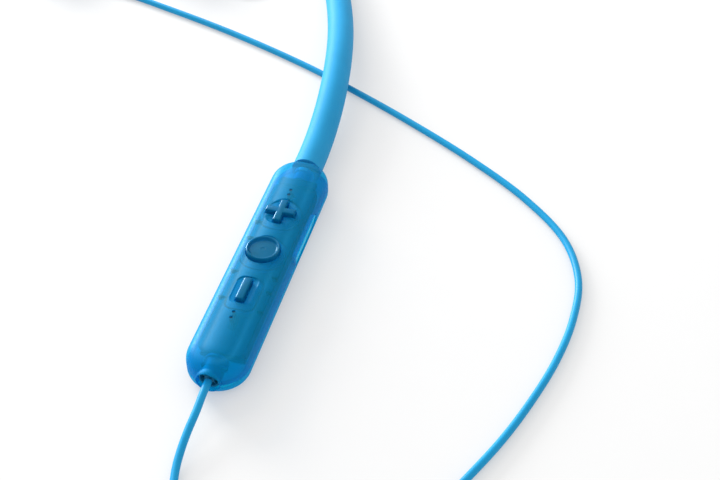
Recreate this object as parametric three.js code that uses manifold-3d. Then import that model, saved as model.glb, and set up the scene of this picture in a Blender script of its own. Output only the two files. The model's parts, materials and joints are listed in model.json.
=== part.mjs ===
// Neckband earphones lying on a table: a springy neckband with a control pod on its right end
// and a battery pod on its left end, and a cabled earbud leaving each pod.
// Millimetres, +Z up. The band lies in the XY plane with its open end towards -Y, on z = 0.
import * as THREE from "three";
import { mergeVertices } from "three/addons/utils/BufferGeometryUtils.js";
import Module from "manifold-3d";

const wasm = await Module();
wasm.setup();

// ---- Driving dimensions ----
const degrees = THREE.MathUtils.degToRad;
const GAP = 0.3;

// Neckband: on each side an arm arc leaves the pod and runs into one shared back arc.
const TUBE_RADIUS = 3.4;
const TUBE_BORE = 1.8;
const NECK_END_X = 61.1;
const POD_LEAN = degrees(15);
const ARM_CURL = degrees(8);
const ARM_RADIUS = 205;
const BAND_STEPS = 48;
const CROSSING_DISTANCE = 39;
const CROSSING_SPREAD = 37;
const CROSSING_LIFT = 1.65;

// Pods, measured from their neckband end towards their cable end.
const POD_LENGTH = 66.5;
const POD_WIDTH = 13;
const POD_HEIGHT = 7.6;
const POD_EDGE = 2.2;
const POD_WALL = 1.1;
const SPLIT_HEIGHT = 3;
const SLEEVE_ENTRY = 1.2;
const SOCKET_RADIUS = 2.5;
const SOCKET_HEIGHT = 3.9;

// Controls on the top of the control pod.
const BUTTON_AT = { plus: 19.8, centre: 32.1, minus: 44.4 };
const BUTTON_TOP = 8;
const BUTTON_TRAVEL = 0.3;
const FLANGE_BOTTOM = 5.4;
const FLANGE_TOP = 6.2;
const SWITCH_X = -1.9;
const LIGHT_AT = 13.3;
const MICROPHONE_AT = 51.5;
const MICROPHONE_HOLE_PITCH = 1.5;

// Control electronics.
const BOARD_BOTTOM = 1.5;
const BOARD_TOP = 2.3;
const CARRIER_START = 8;
const CARRIER_END = 59.5;
const CARRIER_BOTTOM = 4.3;
const CARRIER_TOP = 4.9;
const RIB_AT = [22.4, 27.6, 38.1, 45.9];
const PORT_AT = 22.5;
const PORT_LENGTH = 7.4;
const PORT_BOTTOM = 1.6;
const PORT_TOP = 4;
const PORT_MOUTH_X = 5.1;
const COVER_LENGTH = 14.3;
const COVER_BOTTOM = 1.75;
const COVER_TOP = 4.45;
const COVER_OUTSIDE_X = 6.6;

// Cables and earbuds.
const CABLE_RADIUS = 0.8;
const CABLE_STEPS = 66;
const EARBUD_HEIGHT = 6.4;
const EARBUD_TURN = degrees(58);
const STEM_DROP = degrees(15);
const STEM_SHIFT = -2;
const RIGHT_EARBUD = [-19, 56];
const LEFT_EARBUD = [17, 56];

// Curve segments: a round section gets twice this many sides.
const ROUND = { tube: 6, bore: 3, wire: 3, cable: 4, pod: 5, small: 5 };
const LATHE_SIDES = 18;

// The table's cable routes, from each pod's socket to its earbud.
const RIGHT_CABLE_ROUTE = [
  [43.97, -102.94, 3.9], [43.25, -105.7, 3.8], [42.3, -109.6, 3.3], [41, -113.8, 2.5],
  [40, -117.8, 1.7], [39.4, -121.9, 1.1], [39.6, -127.3, 0.85], [41.8, -133.6, 0.85],
  [46.5, -139.2, 0.85], [53.3, -142.8, 0.85], [61.3, -143.8, 0.85], [70, -142, 0.85],
  [78.8, -137.2, 0.85], [86.3, -130.6, 0.85], [92.3, -123.8, 0.85], [99.8, -114.7, 0.85],
  [106.4, -105.1, 0.85], [112.3, -94.9, 0.85], [116.9, -84, 0.85], [119.5, -72.4, 0.85],
  [118, -60.1, 0.85], [110.9, -46.8, 0.85], [99.3, -32.5, 0.85], [84.4, -17.2, 0.85],
  [73.2, -6.7, 0.85], [61.3, 3.8, 0.85], [49.9, 12.7, 0.85], [36.7, 22.1, 0.85],
  [21.4, 31.9, 0.85], [7.7, 40, 0.85], [4.2, 41.3, 0.85], [0.9, 42.2, 0.85],
  [-2.6, 43.5, 1.15], [-5.89, 45.44, 1.92],
];
const LEFT_CABLE_ROUTE = [
  [-43.97, -102.94, 3.9], [-43.25, -105.7, 3.8], [-42.2, -109.6, 3.2], [-40, -113.4, 2.1],
  [-36.5, -116, 1.2], [-32.3, -116.4, 0.85], [-28.9, -113.9, 0.85], [-27.7, -109.6, 0.85],
  [-28.8, -103, 0.85], [-32.7, -87.6, 0.85], [-38, -66.5, 0.85], [-43, -45.5, 0.85],
  [-47.4, -24, 0.85], [-50.4, -2, 0.85], [-51.5, 18, 0.85], [-50, 36, 0.85],
  [-45.2, 52.5, 0.85], [-36.8, 66, 0.85], [-24.5, 76, 0.85], [-8.7, 81.3, 0.85],
  [8.7, 81.3, 0.85], [24.5, 76, 0.85], [36.8, 66, 0.85], [45.3, 54.5, 0.85],
  [47.2, 46.4, 0.85], [44.1, 41.2, 0.85], [39.8, 40.4, 0.85], [36.2, 41.7, 0.85],
  [33.1, 43.6, 1.15], [30.11, 45.44, 1.92],
];

// ---- Derived places ----
const TUBE_POD_HEIGHT = POD_HEIGHT / 2;
const ARM_LENGTH = ARM_RADIUS * (POD_LEAN + ARM_CURL);
const BACK_RADIUS = ARM_RADIUS
  - (ARM_RADIUS * Math.cos(POD_LEAN) - NECK_END_X) / Math.cos(ARM_CURL);
const HALF_BAND = ARM_LENGTH + BACK_RADIUS * (Math.PI / 2 - ARM_CURL);
const REACH_BACK = ARM_RADIUS * Math.sin(POD_LEAN)
  + (ARM_RADIUS - BACK_RADIUS) * Math.sin(ARM_CURL) + BACK_RADIUS + TUBE_RADIUS;
const REACH_FRONT = (POD_LENGTH - POD_WIDTH / 2) * Math.cos(POD_LEAN) + POD_WIDTH / 2;
// The neckband's ends lie so far forward that the set is centred on the origin.
const NECK_END_Y = (REACH_FRONT - REACH_BACK) / 2;
const ARM_CENTRE = new THREE.Vector2(
  NECK_END_X - ARM_RADIUS * Math.cos(POD_LEAN),
  NECK_END_Y + ARM_RADIUS * Math.sin(POD_LEAN),
);
const BACK_CENTRE_Y = ARM_CENTRE.y + (ARM_RADIUS - BACK_RADIUS) * Math.sin(ARM_CURL);

// ---- Finishes ----
const finish = (color, roughness, metalness = 0) => ({ color, roughness, metalness });
const TINTED_SHELL = finish(0x1583c4, 0.25);
const BUTTON_PLASTIC = finish(0x2196d2, 0.3);
const CARRIER_PLASTIC = finish(0x0b5f8e, 0.5);
const SOFT_SLEEVE = finish(0x45abe0, 0.55);
const CABLE_SKIN = finish(0x3aa3da, 0.5);
const SILICONE = finish(0x3fa6dc, 0.6);
const BOARD = finish(0x0a4f6a, 0.6);
const STEEL = finish(0xb9bfc4, 0.35, 1);
const BLACK_PLASTIC = finish(0x1a1f24, 0.5);
const CELL_FOIL = finish(0x9aa7ad, 0.4, 0.8);
const CLEAR_PLASTIC = finish(0xd8eefa, 0.1);

// ---- Shape helpers ----

/** Places a named piece with its own material in a group. */
function addPiece(group, name, geometry, look) {
  const mesh = new THREE.Mesh(geometry, new THREE.MeshStandardMaterial(look));
  mesh.name = name;
  group.add(mesh);
}

/** A closed three.js surface as a solid that can be cut and joined. */
function toSolid(geometry) {
  const bare = geometry.clone();
  bare.deleteAttribute("normal");
  bare.deleteAttribute("uv");
  const merged = mergeVertices(bare);
  const corners = merged.index.array;
  const kept = [];
  for (let i = 0; i < corners.length; i += 3) {
    const [a, b, c] = [corners[i], corners[i + 1], corners[i + 2]];
    if (a !== b && b !== c && c !== a) kept.push(a, b, c);
  }
  return new wasm.Manifold(new wasm.Mesh({
    numProp: 3,
    vertProperties: new Float32Array(merged.attributes.position.array),
    triVerts: new Uint32Array(kept),
  }));
}

/** A solid as a three.js surface again. */
function toSurface(solid) {
  const mesh = solid.getMesh();
  const surface = new THREE.BufferGeometry();
  surface.setAttribute("position", new THREE.BufferAttribute(mesh.vertProperties, 3));
  surface.setIndex(new THREE.BufferAttribute(mesh.triVerts, 1));
  return surface;
}

/** The body joined with every addition. */
function join(body, ...additions) {
  return toSurface(additions.reduce((solid, item) => solid.add(toSolid(item)), toSolid(body)));
}

/** The body with every tool cut out of it. */
function cut(body, ...tools) {
  return toSurface(tools.reduce((solid, tool) => solid.subtract(toSolid(tool)), toSolid(body)));
}

/** What two bodies share. */
function shared(body, other) {
  return toSurface(toSolid(body).intersect(toSolid(other)));
}

/** A flat outline raised from one height to another, its edges rounded when edge is given. */
function slab(outline, bottom, top, edge = 0, segments = ROUND.pod) {
  const geometry = new THREE.ExtrudeGeometry(outline, {
    depth: top - bottom - 2 * edge,
    bevelEnabled: edge > 0,
    bevelThickness: edge,
    bevelSize: edge,
    bevelOffset: -edge,
    bevelSegments: 3,
    curveSegments: segments,
  });
  return geometry.translate(0, 0, bottom + edge);
}

/** An upright or lying box between two corners. */
function block([x0, y0, z0], [x1, y1, z1]) {
  const box = new THREE.BoxGeometry(x1 - x0, y1 - y0, z1 - z0);
  return box.translate((x0 + x1) / 2, (y0 + y1) / 2, (z0 + z1) / 2);
}

/** An upright cylinder. */
function post(radius, bottom, top, x = 0, y = 0, sides = 12) {
  const cylinder = new THREE.CylinderGeometry(radius, radius, top - bottom, sides);
  return cylinder.rotateX(Math.PI / 2).translate(x, y, (bottom + top) / 2);
}

/** A cylinder lying along Y at a height. */
function lyingPost(radius, yLow, yHigh, height, sides = 16) {
  const cylinder = new THREE.CylinderGeometry(radius, radius, yHigh - yLow, sides);
  return cylinder.translate(0, (yLow + yHigh) / 2, height);
}

/** A profile of [radius, height] pairs turned about the Z axis. */
function turned(profile, sides = LATHE_SIDES) {
  const points = profile.map(([radius, height]) => new THREE.Vector2(radius, height));
  return new THREE.LatheGeometry(points, sides).rotateX(Math.PI / 2);
}

/** A slot outline with round ends, its long axis along Y, centred on the given place. */
function slotOutline(width, length, centreY = 0) {
  const radius = width / 2;
  const reach = length / 2 - radius;
  const outline = new THREE.Shape();
  outline.absarc(0, centreY + reach, radius, 0, Math.PI, false);
  outline.absarc(0, centreY - reach, radius, Math.PI, 2 * Math.PI, false);
  outline.closePath();
  return outline;
}

/** A plus-shaped outline centred on the given place. */
function crossOutline(span, thickness, centreY) {
  const [far, near] = [span / 2, thickness / 2];
  const quarter = [[far, -near], [far, near], [near, near]];
  const [middle, shift] = [new THREE.Vector2(), new THREE.Vector2(0, centreY)];
  const points = [0, 1, 2, 3].flatMap((turn) => quarter.map(([x, y]) => (
    new THREE.Vector2(x, y).rotateAround(middle, turn * Math.PI / 2).add(shift)
  )));
  return new THREE.Shape(points);
}

/** A round outline, with a round hole in it when a bore is given. */
function roundOutline(radius, bore = 0) {
  const outline = new THREE.Shape().absarc(0, 0, radius, 0, 2 * Math.PI, false);
  if (bore > 0) outline.holes.push(new THREE.Path().absarc(0, 0, bore, 0, 2 * Math.PI, false));
  return outline;
}

/** A section swept along a curve. */
function swept(outline, curve, steps, segments) {
  return new THREE.ExtrudeGeometry(outline, {
    steps,
    curveSegments: segments,
    bevelEnabled: false,
    extrudePath: curve,
  });
}

// ---- Neckband ----

/** The band's centre line, moved outward from it, running on into each pod by the lead. */
class BandPath extends THREE.Curve {
  constructor(outward, lead) {
    super();
    this.outward = outward;
    this.lead = lead;
  }

  getPoint(t, target = new THREE.Vector3()) {
    const travelled = 2 * t * (this.lead + HALF_BAND) - this.lead;
    const onRight = travelled <= HALF_BAND;
    const distance = onRight ? travelled : 2 * HALF_BAND - travelled;
    const [x, y] = this.planPoint(distance);
    return target.set(onRight ? x : -x, y, this.height(distance, onRight));
  }

  /** The place on the right half at a distance from the pod's end. */
  planPoint(distance) {
    if (distance < ARM_LENGTH) {
      const heading = POD_LEAN - Math.max(distance, 0) / ARM_RADIUS;
      const inPod = Math.min(distance, 0);
      const radius = ARM_RADIUS + this.outward;
      return [
        ARM_CENTRE.x + radius * Math.cos(heading) + inPod * Math.sin(heading),
        ARM_CENTRE.y - radius * Math.sin(heading) + inPod * Math.cos(heading),
      ];
    }
    const heading = -ARM_CURL - (distance - ARM_LENGTH) / BACK_RADIUS;
    const radius = BACK_RADIUS + this.outward;
    return [radius * Math.cos(heading), BACK_CENTRE_Y - radius * Math.sin(heading)];
  }

  /** The band sinks to the table towards its back, and rides over the cable that crosses under it. */
  height(distance, onRight) {
    const settled = THREE.MathUtils.smoothstep(distance, 0, ARM_LENGTH);
    const resting = THREE.MathUtils.lerp(TUBE_POD_HEIGHT, TUBE_RADIUS, settled);
    const away = Math.abs(distance - CROSSING_DISTANCE) / CROSSING_SPREAD;
    if (!onRight || away > 1) return resting;
    return resting + CROSSING_LIFT * (1 + Math.cos(Math.PI * away)) / 2;
  }
}

function addNeckband(set) {
  const core = { radius: 0.6, outward: -0.85, lead: 6.6 };
  const wire = { radius: 0.65, outward: 0.8, lead: 6.9 };
  const sleeve = swept(
    roundOutline(TUBE_RADIUS, TUBE_BORE), new BandPath(0, SLEEVE_ENTRY), BAND_STEPS, ROUND.tube,
  );
  const strand = ({ radius, outward, lead }) => swept(
    roundOutline(radius), new BandPath(outward, lead), BAND_STEPS, ROUND.wire,
  );
  addPiece(set, "neckband_sleeve", sleeve, SOFT_SLEEVE);
  addPiece(set, "neckband_spring_wire", strand(core), STEEL);
  addPiece(set, "neckband_signal_wire", strand(wire), BLACK_PLASTIC);
}

// ---- Pods: local origin at the neckband end on the table, the cable end at -POD_LENGTH ----

/** The closed capsule form of a pod, drawn in from its outside by an inset. */
function capsule(inset, edge) {
  const outline = slotOutline(POD_WIDTH - 2 * inset, POD_LENGTH - 2 * inset, -POD_LENGTH / 2);
  return slab(outline, inset, POD_HEIGHT - inset, edge);
}

/** The upper and lower halves of a pod's hollow shell, with both end openings. */
function podShells() {
  const hollow = cut(
    capsule(0, POD_EDGE),
    capsule(POD_WALL, POD_EDGE - POD_WALL + GAP),
    lyingPost(TUBE_RADIUS + GAP, -SLEEVE_ENTRY - GAP, POD_WIDTH, TUBE_POD_HEIGHT),
    lyingPost(SOCKET_RADIUS, -POD_LENGTH - 1, -POD_LENGTH + 3, SOCKET_HEIGHT),
  );
  const half = (bottom, top) => shared(
    hollow, block([-POD_WIDTH, -POD_LENGTH - 1, bottom], [POD_WIDTH, 1, top]),
  );
  return {
    top: half(SPLIT_HEIGHT + GAP / 2, POD_HEIGHT + 1),
    bottom: half(-1, SPLIT_HEIGHT - GAP / 2),
  };
}

/** The strain relief that a cable leaves a pod through, its outer face inside the socket. */
function podGrommet() {
  const profile = [
    [0, 61], [2.3, 61], [2.3, 63.2], [1.7, 63.5], [1.7, 63.9], [2.15, 64.2], [2.15, 64.8],
    [1.5, 65.1], [1.5, 65.4], [1.35, 65.9], [0, 65.9],
  ];
  return turned(profile).rotateX(Math.PI / 2).translate(0, 0, SOCKET_HEIGHT);
}

/** The crimped ring that holds the neckband's wires in a pod. */
function neckbandCollar() {
  const profile = [[1.75, 2.7], [2.4, 2.7], [2.4, 3.6], [2.1, 3.9], [2.1, 6.2], [1.75, 6.2], [1.75, 2.7]];
  return turned(profile).rotateX(Math.PI / 2).translate(0, 0, TUBE_POD_HEIGHT);
}

function addPodEnds(pod, side) {
  addPiece(pod, `${side}_neckband_collar`, neckbandCollar(), STEEL);
  addPiece(pod, `${side}_cable_grommet`, podGrommet(), SILICONE);
}

/** The outline of each raised mark, grown by an inset all round. */
const MARK_OUTLINES = {
  plus: (grow) => crossOutline(6.6 + 2 * grow, 1.6 + 2 * grow, -BUTTON_AT.plus),
  centre: (grow) => slotOutline(7.2 + 2 * grow, 7.2 + 2 * grow + 0.001, -BUTTON_AT.centre),
  minus: (grow) => slotOutline(1.7 + 2 * grow, 6.2 + 2 * grow, -BUTTON_AT.minus),
};

/** The wide foot under the top shell that keeps each button in. */
const FLANGE_OUTLINES = {
  plus: () => slotOutline(8.4, 8.6, -BUTTON_AT.plus),
  centre: () => slotOutline(9, 9.2, -BUTTON_AT.centre),
  minus: () => slotOutline(5.4, 8.4, -BUTTON_AT.minus),
};

function buttonBody(kind) {
  const y = -BUTTON_AT[kind];
  const foot = slab(FLANGE_OUTLINES[kind](), FLANGE_BOTTOM, FLANGE_TOP);
  const cap = slab(MARK_OUTLINES[kind](0), FLANGE_TOP - GAP, BUTTON_TOP, 0, ROUND.small);
  const stem = post(1, FLANGE_BOTTOM - 0.5, FLANGE_TOP - GAP, SWITCH_X, y, 10);
  const body = join(foot, cap, stem);
  if (kind !== "centre") return body;
  return cut(body, post(2.4, POD_HEIGHT - 0.3, BUTTON_TOP + 1, 0, y, 16));
}

function addButtons(pod) {
  for (const [kind, distance] of Object.entries(BUTTON_AT)) {
    const y = -distance;
    const [foot, half] = [BOARD_TOP + GAP, 1.4];
    const housing = block([SWITCH_X - half, y - half, foot], [SWITCH_X + half, y + half, 4]);
    const well = post(1.05, foot + 0.4, CARRIER_TOP, SWITCH_X, y, 10);
    const plunger = post(0.75, 3.4, FLANGE_BOTTOM - 0.5 - GAP, SWITCH_X, y, 10);
    addPiece(pod, `${kind}_button`, buttonBody(kind), BUTTON_PLASTIC);
    addPiece(pod, `${kind}_switch_plunger`, plunger, BLACK_PLASTIC);
    addPiece(pod, `${kind}_switch_housing`, cut(housing, well), STEEL);
  }
}

/** The window in the pod's outer side wall that the port cover closes. */
function portWindow() {
  const reach = COVER_LENGTH / 2 + GAP;
  return block(
    [POD_WIDTH / 2 - POD_WALL - 0.5, -PORT_AT - reach, COVER_BOTTOM - GAP],
    [POD_WIDTH, -PORT_AT + reach, COVER_TOP + GAP],
  );
}

/** The socket that the charging plug goes into, with its contact tongue. */
function chargePort() {
  const [back, half] = [PORT_MOUTH_X - 4.9, PORT_LENGTH / 2];
  const middle = (PORT_BOTTOM + PORT_TOP) / 2;
  const can = block([back, -PORT_AT - half, PORT_BOTTOM], [PORT_MOUTH_X, -PORT_AT + half, PORT_TOP]);
  const mouth = block(
    [back + 0.8, -PORT_AT - half + 0.45, PORT_BOTTOM + 0.45],
    [PORT_MOUTH_X + 1, -PORT_AT + half - 0.45, PORT_TOP - 0.45],
  );
  const tongue = block([back + 0.5, -PORT_AT - 1.8, middle - 0.25], [back + 3.6, -PORT_AT + 1.8, middle + 0.25]);
  return join(cut(can, mouth), tongue);
}

/** The soft door over the charge port, with the plug on its inside. */
function portCover() {
  const half = COVER_LENGTH / 2;
  const plate = block(
    [COVER_OUTSIDE_X - 0.9, -PORT_AT - half, COVER_BOTTOM],
    [COVER_OUTSIDE_X, -PORT_AT + half, COVER_TOP],
  );
  const plug = block(
    [PORT_MOUTH_X - 0.6, -PORT_AT - 2.2, 2.4], [COVER_OUTSIDE_X - 0.5, -PORT_AT + 2.2, 3.2],
  );
  return join(plate, plug);
}

/** The dark frame over the circuit board, open above each switch, with locating ribs. */
function carrierFrame() {
  const [half, wall] = [5, 0.7];
  const [start, end] = [-CARRIER_START, -CARRIER_END];
  const plate = block([-half, end, CARRIER_BOTTOM], [half, start, CARRIER_TOP]);
  const walls = [-half, half - wall].map((x) => (
    block([x, end, BOARD_TOP + GAP], [x + wall, start, CARRIER_BOTTOM + 0.1])
  ));
  const ribs = RIB_AT.map((distance) => (
    block([-half, -distance - 0.3, CARRIER_TOP - 0.1], [-half + 1, -distance + 0.3, CARRIER_TOP + 0.4])
  ));
  const switchHoles = Object.values(BUTTON_AT).map((distance) => (
    post(1.5, 0, POD_HEIGHT, SWITCH_X, -distance, 12)
  ));
  const reach = PORT_LENGTH / 2 + GAP;
  return cut(
    join(plate, ...walls, ...ribs),
    ...switchHoles,
    post(0.9, 0, POD_HEIGHT, 0, -LIGHT_AT, 10),
    post(0.9, 0, POD_HEIGHT, 0, -MICROPHONE_AT, 10),
    block([0, -PORT_AT - reach, 0], [POD_WIDTH, -PORT_AT + reach, CARRIER_BOTTOM]),
  );
}

function addControlPod(pod) {
  const shells = podShells();
  const pierced = cut(
    shells.top,
    ...Object.values(MARK_OUTLINES).map((outline) => slab(outline(GAP), FLANGE_TOP, BUTTON_TOP + 1, 0, ROUND.small)),
    post(0.6 + GAP, SPLIT_HEIGHT, BUTTON_TOP, 0, -LIGHT_AT, 10),
    ...[-1, 1].map((way) => (
      post(0.4, SPLIT_HEIGHT, BUTTON_TOP, 0, -MICROPHONE_AT + way * MICROPHONE_HOLE_PITCH / 2, 8)
    )),
    portWindow(),
  );
  const reach = PORT_LENGTH / 2 + GAP;
  const board = cut(
    block([-4.7, -58.5, BOARD_BOTTOM], [4.7, -9.5, BOARD_TOP]),
    block([PORT_MOUTH_X - 4.9 - GAP, -PORT_AT - reach, 0], [POD_WIDTH, -PORT_AT + reach, POD_HEIGHT]),
  );
  const onBoard = BOARD_TOP + GAP;
  addPiece(pod, "control_pod_top_shell", pierced, TINTED_SHELL);
  addPiece(pod, "control_pod_bottom_shell", cut(shells.bottom, portWindow()), TINTED_SHELL);
  addPiece(pod, "control_carrier_frame", carrierFrame(), CARRIER_PLASTIC);
  addPiece(pod, "control_circuit_board", board, BOARD);
  addButtons(pod);
  addPiece(pod, "charge_port", chargePort(), STEEL);
  addPiece(pod, "port_cover", portCover(), SILICONE);
  addPiece(pod, "status_light_pipe", post(0.6, 3.5, POD_HEIGHT, 0, -LIGHT_AT, 10), CLEAR_PLASTIC);
  addPiece(pod, "status_light", block([-0.6, -LIGHT_AT - 0.5, onBoard], [0.6, -LIGHT_AT + 0.5, 3.2]), CLEAR_PLASTIC);
  addPiece(pod, "microphone", block([-1.8, -MICROPHONE_AT - 1.3, onBoard], [1.8, -MICROPHONE_AT + 1.3, 3.7]), STEEL);
  addPiece(pod, "radio_module", block([-3.6, -41.6, onBoard], [3.6, -35.4, 3.9]), STEEL);
  addPodEnds(pod, "right");
}

function addBatteryPod(pod) {
  const shells = podShells();
  const [half, wall, bottom] = [4.6, 0.35, 1.5];
  const [start, end] = [-8.5, -58];
  const tray = join(
    block([-half, end, bottom], [half, start, 2]),
    ...[-half, half - wall].map((x) => block([x, end, 1.8], [x + wall, start, 4.6])),
  );
  addPiece(pod, "battery_pod_top_shell", shells.top, TINTED_SHELL);
  addPiece(pod, "battery_pod_bottom_shell", shells.bottom, TINTED_SHELL);
  addPiece(pod, "battery_tray", tray, CARRIER_PLASTIC);
  addPiece(pod, "battery_cell", block([-3.95, -56, 2.3], [3.95, -16, 5.9]), CELL_FOIL);
  addPiece(pod, "battery_protection_board", block([-3.9, -14.5, 2.3], [3.9, -9.5, 3.1]), BOARD);
  addPodEnds(pod, "left");
}

// ---- Earbuds: local +X towards the ear, the cable leaving towards -Y ----

/** Turns a shape made along Z to lie along the driver's axis at its height. */
const alongEar = (geometry) => geometry.rotateY(Math.PI / 2).translate(0, 0, EARBUD_HEIGHT);

/** Turns a shape made along Z to lie along the stem, sloping down to the table. */
const alongStem = (geometry) => (
  geometry.rotateX(Math.PI / 2 + STEM_DROP).translate(STEM_SHIFT, 0, EARBUD_HEIGHT)
);

function rearHousing() {
  const outside = turned([[0, -5.4], [4.6, -5.2], [6, -4.2], [6.3, -2.8], [6.3, 0], [0, 0]]);
  const inside = turned([[0, -4.5], [4.3, -4.3], [5.3, -3.2], [5.4, 1], [0, 1]]);
  const stem = alongStem(post(1.9, 4, 9));
  return cut(join(alongEar(outside), stem), alongEar(inside), alongStem(post(0.8, 3, 10, 0, 0, 8)));
}

function frontHousing() {
  return alongEar(turned([
    [6.3, GAP], [6.3, 1.2], [5.6, 3.4], [3.6, 5.2], [2.6, 6], [2.6, 9.2], [3, 9.5], [3, 10.2],
    [2.3, 10.8], [1.7, 10.8], [1.7, 5.6], [4.6, 3], [5.4, GAP], [6.3, GAP],
  ]));
}

function earTip() {
  return alongEar(turned([
    [6.2, 7], [6, 9.5], [5, 12], [3.6, 13.4], [2.2, 13.6], [2.2, 11.3], [3.3, 11.3], [3.3, 6.6],
    [4, 6.6], [4, 10.6], [4.7, 11], [5.4, 9.4], [5.6, 7], [6.2, 7],
  ]));
}

function addEarbud(earbud, side) {
  const driver = turned([
    [0, -1.8], [3.6, -1.8], [3.6, -0.6], [5, -0.3], [5, 0.9], [4.2, 1.3], [0, 1.5],
  ]);
  const magnet = turned([[0, -3.6], [3, -3.6], [3, -2.1], [0, -2.1]]);
  const mesh = turned([[0, 10.1], [1.4, 10.1], [1.4, 10.5], [0, 10.5]]);
  const boot = turned([
    [0, 9.3], [1.8, 9.3], [1.8, 10.6], [1.45, 11], [1.6, 11.4], [1.6, 12.6], [1.3, 13],
    [1.45, 13.4], [1.45, 14.6], [1.15, 15], [1.25, 15.4], [1.2, 17], [0, 17],
  ], 12);
  addPiece(earbud, `${side}_earbud_rear_housing`, rearHousing(), TINTED_SHELL);
  addPiece(earbud, `${side}_earbud_front_housing`, frontHousing(), TINTED_SHELL);
  addPiece(earbud, `${side}_earbud_driver`, alongEar(driver), STEEL);
  addPiece(earbud, `${side}_earbud_magnet`, alongEar(magnet), STEEL);
  addPiece(earbud, `${side}_earbud_mesh`, alongEar(mesh), STEEL);
  addPiece(earbud, `${side}_ear_tip`, earTip(), SILICONE);
  addPiece(earbud, `${side}_cable_boot`, alongStem(boot), SILICONE);
}

function addCable(set, name, route) {
  const curve = new THREE.CatmullRomCurve3(route.map((point) => new THREE.Vector3(...point)));
  addPiece(set, name, swept(roundOutline(CABLE_RADIUS), curve, CABLE_STEPS, ROUND.cable), CABLE_SKIN);
}

// ---- The whole set ----

/** A sub-assembly placed on the table and turned about the vertical. */
function placed(set, [x, y], turn) {
  const group = new THREE.Group();
  group.position.set(x, y, 0);
  group.rotation.z = turn;
  set.add(group);
  return group;
}

const neckbandEarphones = new THREE.Group();
addNeckband(neckbandEarphones);
addControlPod(placed(neckbandEarphones, [NECK_END_X, NECK_END_Y], -POD_LEAN));
addBatteryPod(placed(neckbandEarphones, [-NECK_END_X, NECK_END_Y], POD_LEAN));
addEarbud(placed(neckbandEarphones, RIGHT_EARBUD, EARBUD_TURN), "right");
addEarbud(placed(neckbandEarphones, LEFT_EARBUD, EARBUD_TURN), "left");
addCable(neckbandEarphones, "right_earbud_cable", RIGHT_CABLE_ROUTE);
addCable(neckbandEarphones, "left_earbud_cable", LEFT_CABLE_ROUTE);

export default neckbandEarphones;
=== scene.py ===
"""Neckband earphones on a pale table: the looks of a set whose solids come from the shared frame.

Sizes in the classes are millimetres, as a maker would note them, and become metres through MM.
Cord routes are metres.
"""

import json
import logging
from dataclasses import dataclass, field
from enum import Enum
from math import atan2, cos, pi, radians, sin, tan
from typing import Callable, Sequence

import bmesh
import bpy
from mathutils import Matrix, Vector

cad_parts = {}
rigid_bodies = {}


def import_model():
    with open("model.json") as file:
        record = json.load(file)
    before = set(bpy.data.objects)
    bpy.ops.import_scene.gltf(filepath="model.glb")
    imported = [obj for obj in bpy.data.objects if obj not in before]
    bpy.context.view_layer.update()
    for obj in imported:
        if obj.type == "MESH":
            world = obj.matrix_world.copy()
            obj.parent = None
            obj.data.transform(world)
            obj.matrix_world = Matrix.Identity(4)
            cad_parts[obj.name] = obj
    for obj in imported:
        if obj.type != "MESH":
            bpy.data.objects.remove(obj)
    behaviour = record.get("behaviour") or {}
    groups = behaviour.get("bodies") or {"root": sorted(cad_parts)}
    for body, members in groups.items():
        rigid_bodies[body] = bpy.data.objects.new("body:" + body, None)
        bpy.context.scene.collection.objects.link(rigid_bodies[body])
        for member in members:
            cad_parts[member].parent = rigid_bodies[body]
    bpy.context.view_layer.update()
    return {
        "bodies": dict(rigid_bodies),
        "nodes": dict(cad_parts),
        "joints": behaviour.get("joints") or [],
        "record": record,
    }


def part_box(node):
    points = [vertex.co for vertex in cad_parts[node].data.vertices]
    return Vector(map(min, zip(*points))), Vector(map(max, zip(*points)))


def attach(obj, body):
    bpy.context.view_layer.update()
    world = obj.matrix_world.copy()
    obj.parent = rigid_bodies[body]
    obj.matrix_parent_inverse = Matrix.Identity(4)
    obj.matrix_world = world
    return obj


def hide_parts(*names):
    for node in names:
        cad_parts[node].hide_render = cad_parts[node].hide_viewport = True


MM = 0.001
LOG = logging.getLogger("neckband_earphones")

Point2 = tuple[float, float]
Profile = Sequence[Point2]
Outline = Callable[[float], list[Point2]]
Colour = tuple[float, float, float]
Spot = tuple[float, float, float]
Socket = bpy.types.NodeSocket
Values = dict[str | int, object]

PIECE_CREASE = radians(32)
NODE_CREASE = radians(30)
SMALLEST_RADIUS = 0.02
WELD_DISTANCE = 1e-5


# ---------------------------------------------------------------- finishes


class Grain(Enum):
    """How a moulded or drawn surface is textured."""

    FINE = "fine"
    BRUSHED = "brushed"
    PEBBLED = "pebbled"


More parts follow.
